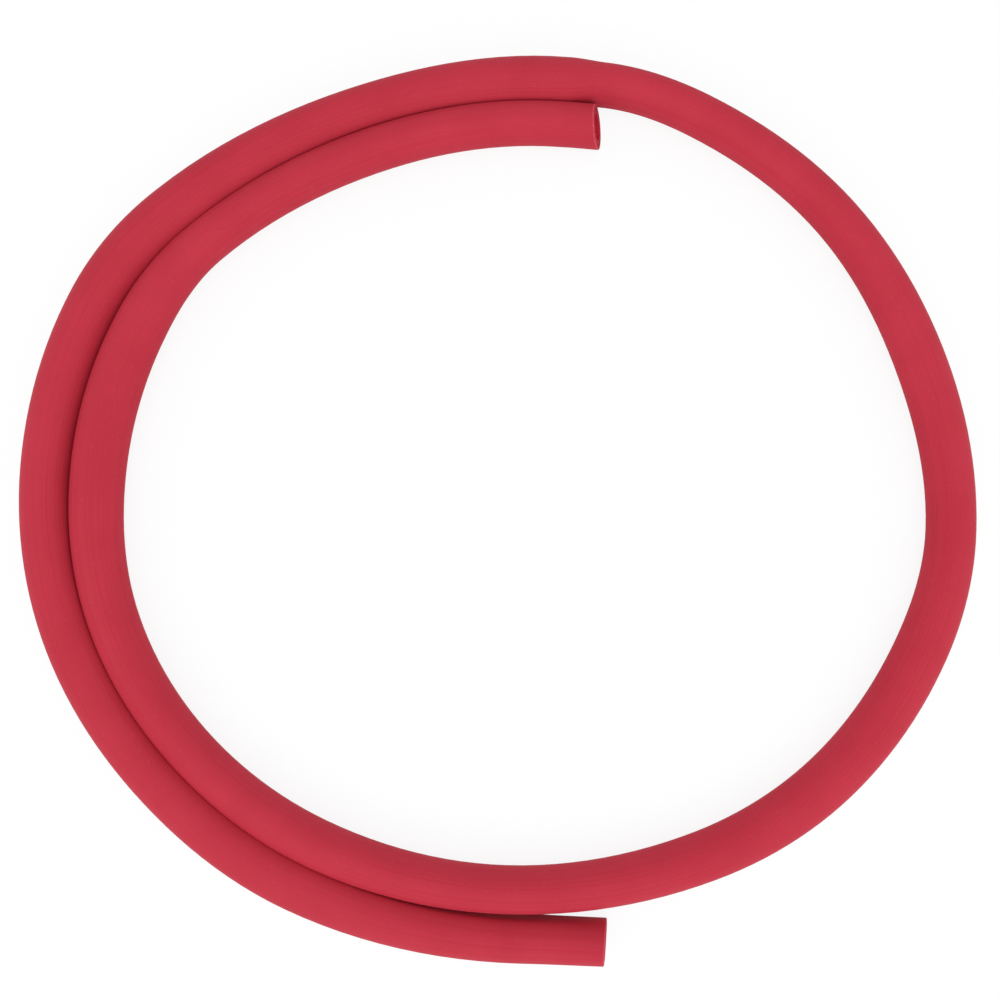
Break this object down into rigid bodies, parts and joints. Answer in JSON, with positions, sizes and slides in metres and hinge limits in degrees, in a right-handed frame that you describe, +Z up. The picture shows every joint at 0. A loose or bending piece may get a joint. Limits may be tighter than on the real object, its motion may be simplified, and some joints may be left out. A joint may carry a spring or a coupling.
{
  "type": "coiled air hose",
  "caption": "Length of red reinforced rubber air hose with bare cut ends, lying flat in a loose coil.",
  "frame": {"origin": "centre of the coil's bounding box, on the floor that the coil lies on", "axes": "+Z up, out of the floor; +X the direction that both cut ends point in; +Y across, towards the side of the coil where the inner end is"},
  "size_m": [0.3446, 0.3286, 0.0155],
  "materials": {
    "cover_rubber": "matte red rubber with a soft sheen",
    "braid_yarn": "yarn braid soaked with red rubber",
    "lining_rubber": "smooth matte red rubber"
  },
  "bodies": {
    "root": {"outer_cover": "cover_rubber", "reinforcement_braid": "braid_yarn", "inner_tube": "lining_rubber"}
  },
  "joints": []
}
